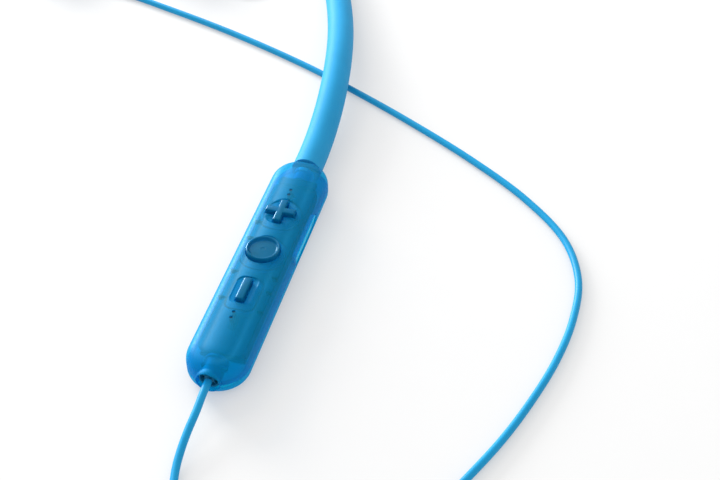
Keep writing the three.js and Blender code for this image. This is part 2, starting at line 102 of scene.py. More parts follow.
class NodeTree:
    """A small wrapper that places and links shader nodes for one material."""

    NOISE_LOW, NOISE_HIGH = 0.3, 0.7

    def __init__(self, name: str) -> None:
        """Starts a material with only its output and its main shader.

        Args:
            name: the material's name.
        """
        self.material = bpy.data.materials.new(name)
        self.material.use_nodes = True
        self.tree = self.material.node_tree
        self.tree.nodes.clear()
        self.output = self.tree.nodes.new("ShaderNodeOutputMaterial")
        self.shader = self.add("ShaderNodeBsdfPrincipled")
        self.link(self.shader.outputs["BSDF"], self.output.inputs["Surface"])
        self.place = self.add("ShaderNodeTexCoord").outputs["Object"]

    def add(self, kind: str, values: Values | None = None, **settings: object) -> bpy.types.Node:
        """Adds a node and sets its attributes and its inputs.

        Args:
            kind: the node's type.
            values: constants for its inputs.
            settings: attribute values.

        Returns:
            The new node.
        """
        node = self.tree.nodes.new(kind)
        for key, value in settings.items():
            setattr(node, key, value)
        self.fill(node, values or {})
        return node

    def fill(self, node: bpy.types.Node, values: Values) -> None:
        """Sets constants directly on a node's inputs."""
        for key, value in values.items():
            node.inputs[key].default_value = value

    def link(self, source: Socket, target: Socket) -> None:
        """Links two sockets."""
        self.tree.links.new(source, target)

    def noise(self, scale: float, detail: float = 2.0, stretch: Spot = (1, 1, 1)) -> Socket:
        """A noise over the piece's own coordinates.

        Args:
            scale: cells per metre.
            detail: octaves.
            stretch: how the coordinates are scaled before the noise.

        Returns:
            The noise value's socket.
        """
        mapping = self.add("ShaderNodeMapping", {"Scale": stretch})
        self.link(self.place, mapping.inputs["Vector"])
        noise = self.add("ShaderNodeTexNoise", {"Scale": scale, "Detail": detail})
        self.link(mapping.outputs["Vector"], noise.inputs["Vector"])
        return noise.outputs["Fac"]

    def spread(self, value: Socket, low: float, high: float) -> Socket:
        """Maps a noise's middle range to another range.

        Args:
            value: the noise's socket.
            low: the new range's start.
            high: its end.

        Returns:
            The new value's socket.
        """
        ends = {"From Min": self.NOISE_LOW, "From Max": self.NOISE_HIGH, "To Min": low, "To Max": high}
        ramp = self.add("ShaderNodeMapRange", ends)
        self.link(value, ramp.inputs["Value"])
        return ramp.outputs["Result"]

    def tint(self, value: Socket, dark: Colour, light: Colour) -> Socket:
        """Blends two colours by a value.

        Args:
            value: the blend's factor.
            dark: the colour at 0.
            light: the colour at 1.

        Returns:
            The blended colour's socket.
        """
        mix = self.add("ShaderNodeMix", {6: (*dark, 1), 7: (*light, 1)}, data_type="RGBA")
        self.link(value, mix.inputs[0])
        return mix.outputs[2]

    def bump(self, height: Socket, depth: float, strength: float = 0.3) -> None:
        """Raises the surface by a height value.

        Args:
            height: the height's socket.
            depth: its full height in metres.
            strength: how much of it is used.
        """
        bump = self.add("ShaderNodeBump", {"Strength": strength, "Distance": depth})
        self.link(height, bump.inputs["Height"])
        self.link(bump.outputs["Normal"], self.shader.inputs["Normal"])

    def vary(
        self, slow: Socket, fine: Socket, colours: tuple[Colour, Colour], roughness: Point2,
    ) -> None:
        """Spreads two colours over a slow noise and two roughnesses over a fine one."""
        self.link(self.tint(self.spread(slow, 0, 1), *colours), self.shader.inputs["Base Color"])
        self.link(self.spread(fine, *roughness), self.shader.inputs["Roughness"])


@dataclass(frozen=True)
class SolidFinish:
    """An opaque moulded, rubber or metal finish with grain and slight colour variation."""

    name: str
    base: Colour
    roughness: float
    metallic: float = 0.0
    specular: float = 0.5
    grain: Grain = Grain.FINE
    grain_scale: float = 9000.0
    grain_depth: float = 0.00002
    variation: float = 0.06
    subsurface: float = 0.0
    coat: float = 0.0
    coat_roughness: float = 0.2
    sheen: float = 0.0
    glow: float = 0.0
    cloud_scale: float = 140.0
    swing: float = 0.12
    brushing: Spot = (1, 1, 0.06)
    pebbling: float = 0.5
    light_depth: float = 0.001
    light_reach: Spot = (0.3, 0.8, 1.0)

    def build(self) -> bpy.types.Material:
        """Makes the material.

        Returns:
            The new material.
        """
        nodes = NodeTree(self.name)
        stretch = self.brushing if self.grain is Grain.BRUSHED else (1, 1, 1)
        cloud = nodes.noise(self.cloud_scale)
        fine = nodes.noise(self.grain_scale, stretch=stretch)
        dark = tuple(c * (1 - self.variation) for c in self.base)
        light = tuple(min(1.0, c * (1 + self.variation)) for c in self.base)
        rough = (self.roughness * (1 - self.swing), min(1.0, self.roughness * (1 + self.swing)))
        nodes.vary(cloud, fine, (dark, light), rough)
        nodes.fill(nodes.shader, {
            "Metallic": self.metallic,
            "Specular IOR Level": self.specular,
            "Subsurface Weight": self.subsurface,
            "Subsurface Scale": self.light_depth,
            "Subsurface Radius": self.light_reach,
            "Coat Weight": self.coat,
            "Coat Roughness": self.coat_roughness,
            "Sheen Weight": self.sheen,
            "Emission Color": (1, 1, 1, 1),
            "Emission Strength": self.glow,
        })
        if self.grain is Grain.PEBBLED:
            nodes.bump(fine, self.grain_depth, self.pebbling)
        else:
            nodes.bump(fine, self.grain_depth)
        return nodes.material


@dataclass(frozen=True)
class TranslucentFinish:
    """A tinted plastic that shows what is behind it, milky enough to carry its own colour."""

    name: str
    body: Colour
    through: Colour
    clear: float
    roughness: float
    grain_scale: float = 7000.0
    grain_depth: float = 0.00002
    specular: float = 0.8
    gloss_tint: Colour = (0.1, 0.62, 1.0)
    haze_scale: float = 260.0
    haze_detail: float = 3.0
    haze_dark: float = 0.93
    swing: float = 0.15

    def build(self) -> bpy.types.Material:
        """Makes the material: tinted see-through plastic mixed with a milky body colour.

        Returns:
            The new material.
        """
        nodes = NodeTree(self.name)
        haze = nodes.noise(self.haze_scale, self.haze_detail)
        fine = nodes.noise(self.grain_scale)
        dark = tuple(c * self.haze_dark for c in self.body)
        rough = (self.roughness * (1 - self.swing), self.roughness * (1 + self.swing))
        nodes.vary(haze, fine, (dark, self.body), rough)
        gloss = {"Specular IOR Level": self.specular, "Specular Tint": (*self.gloss_tint, 1)}
        nodes.fill(nodes.shader, gloss)
        clear = nodes.add("ShaderNodeBsdfTransparent", {"Color": (*self.through, 1)})
        mix = nodes.add("ShaderNodeMixShader", {0: self.clear})
        nodes.link(nodes.shader.outputs["BSDF"], mix.inputs[1])
        nodes.link(clear.outputs["BSDF"], mix.inputs[2])
        nodes.link(mix.outputs["Shader"], nodes.output.inputs["Surface"])
        nodes.bump(fine, self.grain_depth)
        return nodes.material


class Finishes:
    """Every finish of the set, each made once when it is first asked for."""

    RECIPES = {finish.name: finish for finish in (
        TranslucentFinish(
            "tinted_shell", (0.0, 0.37, 0.64), (0.0, 0.70, 0.94), 0.70, 0.46,
            grain_scale=2600.0, grain_depth=0.00003,
        ),
        TranslucentFinish(
            "button", (0.0, 0.18, 0.34), (0.0, 0.55, 0.85), 0.5, 0.3, grain_depth=0.000006,
        ),
        TranslucentFinish("port_cover", (0.02, 0.58, 0.90), (0.0, 0.72, 0.92), 0.15, 0.3),
        TranslucentFinish("light_pipe", (0.02, 0.10, 0.2), (0.3, 0.6, 0.9), 0.3, 0.2),
        SolidFinish(
            "sleeve", (0.02, 0.275, 0.53), 0.52, specular=0.04, grain=Grain.PEBBLED,
            grain_scale=11000.0, grain_depth=0.000015, variation=0.03, subsurface=0.1, sheen=0.02,
        ),
        SolidFinish(
            "cable", (0.01, 0.28, 0.54), 0.38, specular=0.12, grain_scale=14000.0,
            grain_depth=0.00001, variation=0.04, subsurface=0.1,
        ),
        SolidFinish("silicone", (0.045, 0.37, 0.68), 0.5, variation=0.05, subsurface=0.3, sheen=0.1),
        SolidFinish("grommet", (0.0, 0.16, 0.30), 0.5, specular=0.3, variation=0.1),
        SolidFinish(
            "carrier", (0.0, 0.042, 0.082), 0.55, specular=0.2, grain_scale=5000.0,
            grain_depth=0.00001, variation=0.15,
        ),
        SolidFinish("board", (0.004, 0.09, 0.12), 0.45, grain_scale=2500.0, variation=0.3, coat=0.4),
        SolidFinish("dark_plastic", (0.012, 0.014, 0.018), 0.45, variation=0.2),
        SolidFinish("steel", (0.55, 0.57, 0.60), 0.3, metallic=1.0, grain=Grain.BRUSHED, variation=0.08),
        SolidFinish(
            "foil", (0.20, 0.23, 0.26), 0.42, metallic=0.8, grain=Grain.PEBBLED,
            grain_scale=1500.0, grain_depth=0.00005, variation=0.12,
        ),
        SolidFinish(
            "table", (0.44, 0.44, 0.44), 0.9, specular=0.0, grain_scale=1200.0, variation=0.004,
            glow=0.385,
        ),
    )}

    def __init__(self) -> None:
        """Starts with nothing made."""
        self.made: dict[str, bpy.types.Material] = {}

    def get(self, name: str) -> bpy.types.Material:
        """The named finish's material.

        Args:
            name: a key of RECIPES.

        Returns:
            The material, made on first use.
        """
        if name not in self.made:
            self.made[name] = self.RECIPES[name].build()
        return self.made[name]


# ---------------------------------------------------------------- shape tools


def rounded_outline(corners: Profile, radius: float, steps: int = 5) -> list[Point2]:
    """A closed outline with each corner rounded by an arc, inward or outward corners alike.

    Args:
        corners: the sharp corners in order.
        radius: the arcs' radius.
        steps: segments per arc.

    Returns:
        The outline's points, steps + 1 for each corner.
    """
    points: list[Point2] = []
    count = len(corners)
    for index, corner in enumerate(corners):
        here = Vector(corner)
        back = (Vector(corners[index - 1]) - here).normalized()
        ahead = (Vector(corners[(index + 1) % count]) - here).normalized()
        half = back.angle(ahead) / 2
        reach = radius / tan(half)
        centre = here + (back + ahead).normalized() * (radius / sin(half))
        start, end = here + back * reach - centre, here + ahead * reach - centre
        for step in range(steps + 1):
            arm = start.slerp(end, step / steps, start).normalized() * radius
            points.append(tuple(centre + arm))
    return points


def slot_outline(width: float, length: float, steps: int = 14) -> list[Point2]:
    """A slot with round ends along Y, centred on the origin, counter-clockwise.

    Args:
        width: across.
        length: end to end.
        steps: segments of each round end.

    Returns:
        The outline's points.
    """
    radius, reach = width / 2, max(length / 2 - width / 2, 1e-4)
    ends = ((0.0, reach), (pi, -reach))
    return [
        (radius * cos(start + pi * i / steps), y + radius * sin(start + pi * i / steps))
        for start, y in ends
        for i in range(steps + 1)
    ]


def box_outline(width: float, length: float, radius: float, steps: int = 5) -> list[Point2]:
    """A rectangle with round corners, centred on the origin, counter-clockwise."""
    x, y = width / 2, length / 2
    return rounded_outline([(x, -y), (x, y), (-x, y), (-x, -y)], radius, steps)


def cross_outline(span: float, bar: float, radius: float, steps: int = 4) -> list[Point2]:
    """A plus sign with softened corners, centred on the origin, counter-clockwise.

    Args:
        span: its width and its length.
        bar: its bars' width.
        radius: the corners' radius.
        steps: segments of each corner.

    Returns:
        The outline's points.
    """
    far, near = span / 2, bar / 2
    quarter = ((far, -near), (far, near), (near, near))
    corners = [
        (x * cos(a) - y * sin(a), x * sin(a) + y * cos(a))
        for a in (0, pi / 2, pi, 3 * pi / 2)
        for x, y in quarter
    ]
    return rounded_outline(corners, radius, steps)


def grown(draw: Callable[..., list[Point2]], width: float, length: float, *rest: float) -> Outline:
    """A plan that grows all round while its corners keep their radius."""
    return lambda grow: draw(width + 2 * grow, length + 2 * grow, *rest)


def swollen(width: float, length: float, radius: float, steps: int = 5) -> Outline:
    """A rounded rectangle that grows all round, its corners' radius with it."""
    return lambda grow: box_outline(
        width + 2 * grow, length + 2 * grow, max(radius + grow, SMALLEST_RADIUS), steps,
    )


class Solid:
    """A closed mesh under construction, in millimetres of its own place until it is finished."""

    def __init__(self, verts: list[Vector], faces: list[tuple[int, ...]]) -> None:
        """Keeps the corners and faces.

        Args:
            verts: the corners.
            faces: corner numbers of each face.
        """
        self.mesh = bpy.data.meshes.new("solid")
        self.mesh.from_pydata([tuple(v) for v in verts], [], faces)
        self.mesh.validate()
        edit = bmesh.new()
        edit.from_mesh(self.mesh)
        bmesh.ops.remove_doubles(edit, verts=edit.verts, dist=WELD_DISTANCE)
        bmesh.ops.recalc_face_normals(edit, faces=edit.faces)
        edit.to_mesh(self.mesh)
        edit.free()

    @classmethod
    def lofted(cls, rings: Sequence[Sequence[Vector]]) -> "Solid":
        """A skin over rings of equally many points, closed by a face at each end.

        Args:
            rings: the sections in order.

        Returns:
            The solid.
        """
        count = len(rings[0])
        verts = [point for ring in rings for point in ring]
        faces: list[tuple[int, ...]] = []
        for level in range(len(rings) - 1):
            low, high = level * count, (level + 1) * count
            for i in range(count):
                j = (i + 1) % count
                faces.append((low + i, low + j, high + j, high + i))
        faces.append(tuple(range(count))[::-1])
        faces.append(tuple(range((len(rings) - 1) * count, len(rings) * count)))
        return cls(verts, faces)

    @classmethod
    def raised(cls, outline: Outline, levels: Profile, at: Point2 = (0, 0)) -> "Solid":
        """An outline raised through (height, growth) levels from the bottom up, its middle at a point."""
        rings = [[Vector((x + at[0], y + at[1], z)) for x, y in outline(grow)] for z, grow in levels]
        return cls.lofted(rings)

    @classmethod
    def turned(cls, profile: Profile, sides: int = 48) -> "Solid":
        """A profile of (radius, height) pairs turned about Z, closing on the axis or on itself.

        Args:
            profile: the pairs in order.
            sides: segments round the axis.

        Returns:
            The solid.
        """
        rows = len(profile)
        verts = [
            Vector((r * cos(2 * pi * s / sides), r * sin(2 * pi * s / sides), z))
            for s in range(sides)
            for r, z in profile
        ]
        faces = []
        for side in range(sides):
            a, b = side * rows, ((side + 1) % sides) * rows
            faces += [(a + row, b + row, b + row + 1, a + row + 1) for row in range(rows - 1)]
        return cls(verts, faces)

    def moved(self, matrix: Matrix) -> "Solid":
        """Moves the solid by a matrix and returns it."""
        self.mesh.transform(matrix)
        return self

    def _combine(self, others: Sequence["Solid"], operation: str) -> "Solid":
        """Joins, cuts or intersects with other solids.

        Args:
            others: the solids to combine with.
            operation: UNION, DIFFERENCE or INTERSECT.

        Returns:
            This solid, changed.
        """
        holder = bpy.data.objects.new("holder", self.mesh)
        bpy.context.collection.objects.link(holder)
        tools = []
        for other in others:
            tool = bpy.data.objects.new("tool", other.mesh)
            bpy.context.collection.objects.link(tool)
            modifier = holder.modifiers.new("step", "BOOLEAN")
            modifier.operation = operation
            modifier.solver = "MANIFOLD"
            modifier.object = tool
            tools.append(tool)
        graph = bpy.context.evaluated_depsgraph_get()
        self.mesh = bpy.data.meshes.new_from_object(holder.evaluated_get(graph))
        for item in (holder, *tools):
            bpy.data.objects.remove(item)
        return self

    def cut(self, *tools: "Solid") -> "Solid":
        """Cuts tools out of the solid and returns it."""
        return self._combine(tools, "DIFFERENCE")

    def join(self, *others: "Solid") -> "Solid":
        """Joins others to the solid and returns it."""
        return self._combine(others, "UNION")

    def keep(self, *others: "Solid") -> "Solid":
        """Keeps only what the solid shares with the others and returns it."""
        return self._combine(others, "INTERSECT")


def box_solid(low: Spot, high: Spot, radius: float, edge: float) -> Solid:
    """A box between two corners with rounded upright edges and softened rims.

    Args:
        low: the lowest corner.
        high: the highest corner.
        radius: the upright edges' radius.
        edge: the rims' softening.

    Returns:
        The solid.
    """
    width, length = high[0] - low[0], high[1] - low[1]
    middle = ((low[0] + high[0]) / 2, (low[1] + high[1]) / 2)
    levels = ((low[2], -edge), (low[2] + edge, 0), (high[2] - edge, 0), (high[2], -edge))
    return Solid.raised(swollen(width, length, radius, 4), levels, middle)


def post_solid(
    radius: float, low: float, high: float, at: Point2, edge: float = 0.06, sides: int = 24,
) -> Solid:
    """An upright round post with softened rims.

    Args:
        radius: its radius.
        low: its foot's height.
        high: its top's height.
        at: where its middle goes.
        edge: the rims' softening.
        sides: segments round it.

    Returns:
        The solid.
    """
    rim = radius - edge
    profile = ((0, low), (rim, low), (radius, low + edge), (radius, high - edge), (rim, high), (0, high))
    return Solid.turned(profile, sides).moved(Matrix.Translation((*at, 0)))


@dataclass
class Place:
    """Where a sub-assembly stands: its origin on the table and its turn about the vertical."""

    x: float
    y: float
    turn: float

    @property
    def matrix(self) -> Matrix:
        """From the sub-assembly's millimetres to the frame's metres."""
        spot = Matrix.Translation((self.x, self.y, 0))
        return spot @ Matrix.Rotation(self.turn, 4, "Z") @ Matrix.Scale(MM, 4)


class Workshop:
    """Turns finished solids into pieces of the set: named, dressed, riding and standing for nodes."""

    def __init__(self, frame: dict, finishes: Finishes) -> None:
        self.frame = frame
        self.finishes = finishes

    def middle(self, node: str) -> Vector:
        """The middle of a node's box in metres."""
        low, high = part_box(node)
        return (Vector(low) + Vector(high)) / 2

    def finish_piece(self, name: str, solid: Solid, place: Place, *role: str) -> None:
        """Puts a solid in its place as a piece.

        Args:
            name: the piece's name.
            solid: its shape in the sub-assembly's millimetres.
            place: where the sub-assembly stands.
            role: its finish, node, slot and body, as dress takes them.
        """
        solid.mesh.transform(place.matrix)
        piece = bpy.data.objects.new(name, solid.mesh)
        bpy.context.collection.objects.link(piece)
        self.dress(piece, *role)

    def dress(
        self, piece: bpy.types.Object, finish: str, node: str, slot: str, body: str = "root",
    ) -> None:
        """Gives a piece its finish, body and node, and reports it.

        Args:
            piece: the piece.
            finish: its finish.
            node: the node that it stands for.
            slot: not used.
            body: the body that it rides on.
        """
        piece.data.name = piece.name
        self.coat(piece, finish, PIECE_CREASE)
        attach(piece, body)
        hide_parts(node)
        LOG.info("%s rides on %s for %s", piece.name, body, node)

    def coat(self, piece: bpy.types.Object, finish: str, crease: float) -> None:
        """Gives an object its finish and smooths a mesh up to its creases.

        Args:
            piece: the object.
            finish: its finish.
            crease: the angle from which an edge stays crisp.
        """
        piece.data.materials.clear()
        piece.data.materials.append(self.finishes.get(finish))
        if piece.type == "MESH":
            piece.data.shade_smooth()
            piece.data.set_sharp_from_angle(angle=crease)

    def dress_node(self, node: str, finish: str) -> None:
        """Gives a carried-over node its finish, and reports it."""
        self.coat(self.frame["nodes"][node], finish, NODE_CREASE)
        LOG.info("%s keeps its solid in %s", node, finish)


def flowing(points: Sequence[Vector], step: float) -> list[Vector]:
    """Points close together on the smooth curve through a list of points.

    Args:
        points: the points to pass through.
        step: about how far apart the new points are.

    Returns:
        The close points, the first and last of the list included.
    """
    chain = [points[0] * 2 - points[1], *points, points[-1] * 2 - points[-2]]
    line: list[Vector] = []
    for a, b, c, d in zip(chain, chain[1:], chain[2:], chain[3:]):
        knots = [0.0]
        for p, q in ((a, b), (b, c), (c, d)):
            knots.append(knots[-1] + max((q - p).length, 1e-9) ** 0.5)
        steps = max(1, round((c - b).length / step))
        for i in range(steps):
            t = knots[1] + (knots[2] - knots[1]) * i / steps
            line.append(_on_flow((a, b, c, d), knots, t))
    line.append(points[-1].copy())
    return line


def _on_flow(four: Sequence[Vector], knots: Sequence[float], t: float) -> Vector:
    """A point of the centripetal curve through four points, between the middle two.

    Args:
        four: the points.
        knots: the curve's measure at each of them.
        t: the measure of the point.

    Returns:
        The point.
    """
    row = [_between(four[i], four[i + 1], knots[i], knots[i + 1], t) for i in range(3)]
    row = [_between(row[i], row[i + 1], knots[i], knots[i + 2], t) for i in range(2)]
    return _between(row[0], row[1], knots[1], knots[2], t)


def _between(p: Vector, q: Vector, low: float, high: float, t: float) -> Vector:
    """The point at t on the line that is p at low and q at high."""
    share = (t - low) / (high - low)
    return p * (1 - share) + q * share


def soft_profile(points: Profile, step: float = 0.35) -> list[Point2]:
    """Close (radius, height) points on a smooth profile through some of them."""
    curve = flowing([Vector((r, z, 0)) for r, z in points], step)
    return [(max(p.x, 0.0), p.y) for p in curve]


# ---------------------------------------------------------------- neckband


@dataclass
class Band:
    """The springy neckband: two arm arcs, one back arc, and the rise over the cable under it."""

    end_x: float
    end_y: float
    lean: float = radians(15)
    curl: float = radians(8)
    arm_radius: float = 205.0
    tube_radius: float = 3.4
    pod_height: float = 3.75
    crossing: float = 39.0
    crossing_spread: float = 37.0
    crossing_lift: float = 1.65
    entry: float = 1.05
    steps: int = 300
    sides: int = 40
    arm_length: float = field(init=False)
    back_radius: float = field(init=False)
    half_length: float = field(init=False)

    def __post_init__(self) -> None:
        """Works the arcs out from the driving sizes."""
        self.arm_length = self.arm_radius * (self.lean + self.curl)
        inward = self.arm_radius * cos(self.lean) - self.end_x
        self.back_radius = self.arm_radius - inward / cos(self.curl)
        self.half_length = self.arm_length + self.back_radius * (pi / 2 - self.curl)

    def centre(self, travelled: float) -> Vector:
        """The tube's centre, in millimetres.

        Args:
            travelled: the distance along the tube from the right pod's end.

        Returns:
            The centre.
        """
        on_right = travelled <= self.half_length
        distance = travelled if on_right else 2 * self.half_length - travelled
        centre_x = self.end_x - self.arm_radius * cos(self.lean)
        centre_y = self.end_y + self.arm_radius * sin(self.lean)
        if distance < self.arm_length:
            heading, inside = self.lean - max(distance, 0) / self.arm_radius, min(distance, 0)
            x = centre_x + self.arm_radius * cos(heading) + inside * sin(heading)
            y = centre_y - self.arm_radius * sin(heading) + inside * cos(heading)
        else:
            heading = -self.curl - (distance - self.arm_length) / self.back_radius
            x = self.back_radius * cos(heading)
            y = centre_y + (self.arm_radius - self.back_radius) * sin(self.curl)
            y -= self.back_radius * sin(heading)
        return Vector((x if on_right else -x, y, self.height(distance, on_right)))

    def height(self, distance: float, on_right: bool) -> float:
        """The centre's height: settling to the table, and lifted where the cable passes under.

        Args:
            distance: how far along the tube the nearer pod's end is.
            on_right: True on the right-hand half.

        Returns:
            The height.
        """
        share = min(max(distance / self.arm_length, 0), 1)
        settled = share * share * (3 - 2 * share)
        resting = self.pod_height + (self.tube_radius - self.pod_height) * settled
        away = abs(distance - self.crossing) / self.crossing_spread
        if not on_right or away > 1:
            return resting
        return resting + self.crossing_lift * (1 + cos(pi * away)) / 2

    def build(self, shop: Workshop) -> None:
        """Makes the sleeve and dresses the wires inside it.

        Args:
            shop: the workshop.
        """
        whole = 2 * (self.half_length + self.entry)
        line = [self.centre(whole * i / self.steps - self.entry) for i in range(self.steps + 1)]
        rings = []
        for i, point in enumerate(line):
            ahead = (line[min(i + 1, self.steps)] - line[max(i - 1, 0)]).normalized()
            across = ahead.cross(Vector((0, 0, 1))).normalized()
            up = across.cross(ahead)
            rings.append([
                point + (across * cos(a) + up * sin(a)) * self.tube_radius
                for a in (2 * pi * k / self.sides for k in range(self.sides))
            ])
        sleeve = Solid.lofted(rings)
        shop.finish_piece("sleeve", sleeve, Place(0, 0, 0), "sleeve", "neckband_sleeve", "soft_sleeve")
        shop.dress_node("neckband_spring_wire", "steel")
        shop.dress_node("neckband_signal_wire", "dark_plastic")


# ---------------------------------------------------------------- pods


@dataclass
class Pod:
    """What both pods share: the capsule shell in two halves, the neckband entry and the cable socket."""

    place: Place
    side: str
    length: float = 66.5
    width: float = 13.0
    height: float = 7.6
    lower_edge: float = 2.2
    upper_edge: float = 3.3
    fullness: float = 2.3
    crown: float = 0.5
    wall: float = 1.1
    split: float = 3.0
    seam: float = 0.04
    entry_radius: float = 3.45
    entry_height: float = 3.75
    entry_depth: float = 1.15
    socket_height: float = 3.9
    socket_radius: float = 2.3
    socket_lip: float = 2.62
    socket_reach: float = 66.75
    lower_steps: int = 8
    upper_steps: int = 14
    crown_steps: int = 6
    near_middle: float = 0.98
    floor_ring: float = 0.7
    inner_ease: float = 0.8
    spare: float = 10.0
    fins: int = 8
    fin_turn: float = 12.0

    def outline(self, inset: float, steps: int = 22, side_steps: int = 44) -> list[Point2]:
        """The capsule's plan drawn in by an inset, with close points along its straight sides.

        Args:
            inset: how far it is drawn in.
            steps: segments of each round end.
            side_steps: segments of each straight side.

        Returns:
            The plan's points.
        """
        radius = max(self.width / 2 - inset, 0.01)
        reach = self.length / 2 - self.width / 2
        middle = -self.length / 2
        points: list[Point2] = []
        for start, way in ((0.0, 1), (pi, -1)):
            for i in range(steps + 1):
                a = start + pi * i / steps
                points.append((radius * cos(a), middle + way * reach + radius * sin(a)))
            for i in range(1, side_steps):
                y = middle + way * reach * (1 - 2 * i / side_steps)
                points.append((-way * radius, y))
        return points

    def capsule(self, inset: float, low: float, high: float, lower: float, upper: float) -> Solid:
        """A capsule between two heights with round lower edges and fuller, softer upper ones.

        Args:
            inset: how far its sides lie inside the pod's outside.
            low: its underside's height.
            high: its top's height at the middle.
            lower: the lower edge's radius.
            upper: the upper edge's reach.

        Returns:
            The solid.
        """
        half = self.width / 2 - inset
        levels: list[Point2] = [(half * self.near_middle, low), (half * self.floor_ring, low)]
        for i in range(self.lower_steps + 1):
            a = pi / 2 * i / self.lower_steps
            levels.append((lower * (1 - sin(a)), low + lower * (1 - cos(a))))
        shoulder = high - self.crown
        power = 2 / self.fullness
        for i in range(self.upper_steps + 1):
            a = pi / 2 * i / self.upper_steps
            levels.append((upper * (1 - cos(a) ** power), shoulder - upper * (1 - sin(a) ** power)))
        for i in range(1, self.crown_steps + 1):
            share = i / self.crown_steps * self.near_middle
            levels.append((upper + (half - upper) * share, shoulder + self.crown * share * (2 - share)))
        rings = [[Vector((x, y, z)) for x, y in self.outline(inset + cut)] for cut, z in levels]
        return Solid.lofted(rings)

    def lying_turned(self, profile: Profile, height: float, sides: int = 40) -> Solid:
        """A profile of (radius, distance from the neckband end) pairs turned about the pod's length."""
        turn = Matrix.Translation((0, 0, height)) @ Matrix.Rotation(pi / 2, 4, "X")
        return Solid.turned(profile, sides).moved(turn)

    def hollow(self) -> Solid:
        """The pod's whole shell with its neckband entry and its cable socket.

        Returns:
            The solid.
        """
        outside = self.capsule(0, 0, self.height, self.lower_edge, self.upper_edge)
        wall, lip, bore, tip = self.wall, self.socket_lip, self.socket_radius, self.socket_reach
        collar = self.lying_turned((
            (0, 64.9), (lip - 0.2, 64.9), (lip, 65.4), (lip, tip - 0.3), (lip - 0.1, tip - 0.08),
            (lip - 0.25, tip), (0, tip),
        ), self.socket_height)
        lower, upper = self.lower_edge - self.inner_ease, self.upper_edge - self.inner_ease
        inside = self.capsule(wall, wall, self.height - wall, lower, upper)
        across, deep = self.entry_radius, self.entry_depth
        entry = self.lying_turned(((0, -3), (across, -3), (across, deep), (0, deep)), self.entry_height)
        socket = self.lying_turned((
            (0, 62), (bore, 62), (bore, tip - 0.25), (bore + 0.15, tip + 0.05), (bore + 0.15, 68), (0, 68),
        ), self.socket_height)
        return outside.join(collar).cut(inside, entry, socket)

    def halves(self) -> tuple[Solid, Solid]:
        """The shell's upper and lower half, with a fine seam between them.

        Returns:
            The upper and the lower half.
        """
        side, far, spare = self.width, self.length + self.spare, self.spare
        upper = box_solid((-side, -far, self.split + self.seam), (side, spare, self.height + spare), 1, 0)
        lower = box_solid((-side, -far, -spare), (side, spare, self.split - self.seam), 1, 0)
        return self.hollow().keep(upper), self.hollow().keep(lower)

    def add_halves(self, shop: Workshop, name: str, upper: Solid, lower: Solid) -> None:
        """Puts both halves of the shell in place.

        Args:
            shop: the workshop.
            name: the pod's kind.
            upper: the top shell.
            lower: the bottom shell.
        """
        for half, solid in (("top", upper), ("bottom", lower)):
            node = f"{name}_pod_{half}_shell"
            shop.finish_piece(f"{name}_{half}", solid, self.place, "tinted_shell", node, "tinted_shell")

    def add_ends(self, shop: Workshop) -> None:
        """Makes the ribbed grommet in the socket and dresses the neckband's collar.

        Args:
            shop: the workshop.
        """
        middle = self.socket_height
        ring = self.lying_turned((
            (1.75, 63.6), (2.2, 63.6), (2.2, 65.7), (2.1, 65.85), (1.9, 65.85), (1.8, 65.7), (1.75, 63.6),
        ), middle)
        web = self.lying_turned((
            (0, 61.1), (2.5, 61.1), (2.5, 61.7), (2.25, 61.8), (2.25, 63.9), (1.2, 64.4), (1.1, 65.5),
            (0.95, 65.7), (0, 65.7),
        ), middle)
        fins = []
        for i in range(self.fins):
            fin = box_solid((0.8, -65.3, -0.11), (2.0, -63.4, 0.11), 0.1, 0.03)
            turn = Matrix.Rotation(radians(360 / self.fins * i + self.fin_turn), 4, "Y")
            fins.append(fin.moved(Matrix.Translation((0, 0, middle)) @ turn))
        # The dark block across the socket's end is painted shade: it stands for the shadow in the undercut
        # at the carrier's end, not a real part.
        shade_block = box_solid((-2.3, -64.0, 4.6), (3.1, -63.1, 5.6), 0.3, 0.1)
        node = f"{self.side}_cable_grommet"
        shop.finish_piece(
            f"{self.side}_grommet", ring.join(web, shade_block, *fins), self.place, "grommet", node, "silicone",
        )
        shop.dress_node(f"{self.side}_neckband_collar", "cable")


@dataclass(frozen=True)
class Mark:
    """A button's mark with the foot under it and the well round it, each as a plan that grows."""

    name: str
    distance: float
    face: Outline
    foot: Outline
    well: Outline

    @property
    def at(self) -> Point2:
        """Where its middle is in the pod."""
        return (0, -self.distance)


